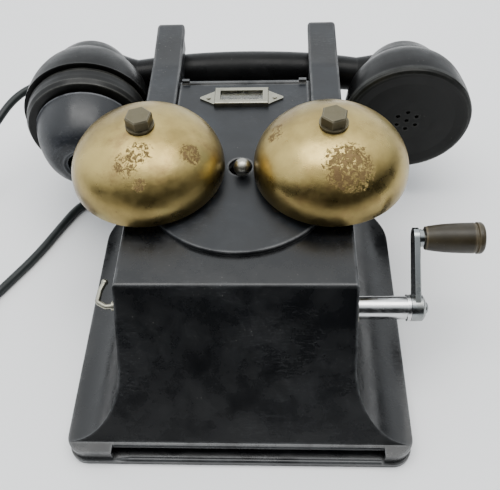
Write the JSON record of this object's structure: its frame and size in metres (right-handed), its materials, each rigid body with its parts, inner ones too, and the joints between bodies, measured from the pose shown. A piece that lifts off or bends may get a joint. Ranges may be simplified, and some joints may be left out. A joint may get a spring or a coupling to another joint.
{
  "type": "wall crank telephone",
  "caption": "Wall telephone with twin gongs on the front, a hand crank and magneto, a sprung cradle and a lift-off handset on a coiled cord.",
  "frame": {"origin": "centre of the back plate's flat face", "axes": "+X towards the crank side, +Y towards the cradle end (up on a wall), +Z out of the wall"},
  "size_m": [0.3037, 0.2078, 0.1023],
  "materials": {
    "case_paint": "aged black enamel",
    "plate_paint": "aged black enamel",
    "gong_brass": "tarnished, scratched",
    "bolt_bronze": "dull, darkened",
    "nickel": "worn nickel plating",
    "crank_chrome": "polished",
    "steel": "plain",
    "bakelite": "dark moulding with dust",
    "mouth_plastic": "black, worn",
    "ear_plastic": "black, dusty",
    "ring_plastic": "black, worn",
    "knob_wood": "dark lacquer",
    "card_paper": "yellowed card",
    "window": "clear",
    "cord_cover": "dark braid",
    "rubber": "black",
    "inner_steel": "plain",
    "inner_iron": "painted black",
    "inner_copper": "varnished copper winding",
    "inner_brass": "plain",
    "inner_insulation": "brown insulation",
    "inner_aluminium": "plain"
  },
  "bodies": {
    "case": {"back_plate": "case_paint", "case_cover": "case_paint", "cover_screw": "steel", "bell_plate": "plate_paint", "bell_plate_screws": "steel", "gong_left": "gong_brass", "gong_right": "gong_brass", "gong_posts": "steel", "gong_washers": "bolt_bronze", "gong_bolts": "bolt_bronze", "label_frame": "nickel", "label_card": "card_paper", "label_window": "window", "label_pins": "nickel", "side_hook": "nickel", "crank_bush": "nickel", "cord_grommet": "rubber", "magneto_base": "inner_aluminium", "magneto_end_plates": "inner_brass", "magneto_magnets": "inner_iron", "magneto_poles": "inner_iron", "ringer_magnet": "inner_iron", "ringer_frame": "inner_steel", "ringer_cores": "inner_steel", "ringer_coils": "inner_copper", "ringer_pivot_pin": "inner_steel", "yoke_guides": "inner_steel", "switch_stack": "inner_insulation", "switch_blades": "inner_brass", "terminal_block": "inner_insulation", "terminal_screws": "inner_brass", "capacitor": "inner_aluminium", "capacitor_clip": "inner_steel", "induction_coil": "inner_copper", "handset_cord_upper": "cord_cover", "handset_cord_coil": "cord_cover", "handset_cord_lower": "cord_cover"},
    "crank": {"crank_shaft": "crank_chrome", "crank_arm": "crank_chrome", "knob_pin": "steel", "drive_gear": "inner_brass"},
    "knob": {"crank_knob": "knob_wood"},
    "armature": {"armature_core": "inner_iron", "armature_winding": "inner_copper", "armature_shaft": "inner_steel", "pinion": "inner_steel"},
    "clapper": {"ringer_armature": "inner_steel", "clapper_rod": "steel", "clapper_ball": "steel"},
    "yoke": {"cradle_yoke": "plate_paint"},
    "handset": {"handset_handle": "bakelite", "ear_cap": "ear_plastic", "receiver_unit": "inner_aluminium", "receiver_diaphragm": "inner_steel", "transmitter_ring": "ring_plastic", "mouthpiece": "mouth_plastic", "transmitter_unit": "inner_aluminium", "cord_relief": "rubber"}
  },
  "joints": [
    {"name": "crank_spin", "type": "hinge", "parent": "case", "child": "crank", "pos_m": [0.06, -0.0362, 0.041], "axis": [1, 0, 0], "continuous": true},
    {"name": "knob_spin", "type": "hinge", "parent": "crank", "child": "knob", "pos_m": [0.09, -0.01259, 0.05784], "axis": [1, 0, 0], "continuous": true},
    {"name": "armature_spin", "type": "hinge", "parent": "case", "child": "armature", "pos_m": [0, -0.01888, 0.031], "axis": [1, 0, 0], "continuous": true},
    {"name": "clapper_swing", "type": "hinge", "parent": "case", "child": "clapper", "pos_m": [0, 0.021, 0.042], "axis": [0, 1, 0], "range_deg": [-6, 1.2], "stiffness_Nm_per_rad": 0.02},
    {"name": "cradle_slide", "type": "slide", "parent": "case", "child": "yoke", "axis": [0, 1, 0], "range_m": [-0.0026, 0], "stiffness_N_per_m": 600},
    {"name": "handset_lift", "type": "slide", "parent": "yoke", "child": "handset", "axis": [0, 1, 0], "range_m": [0, 0.05]}
  ],
  "couplings": [
    {"joint": "armature_spin", "follows": "crank_spin", "ratio": -3.1667}
  ]
}
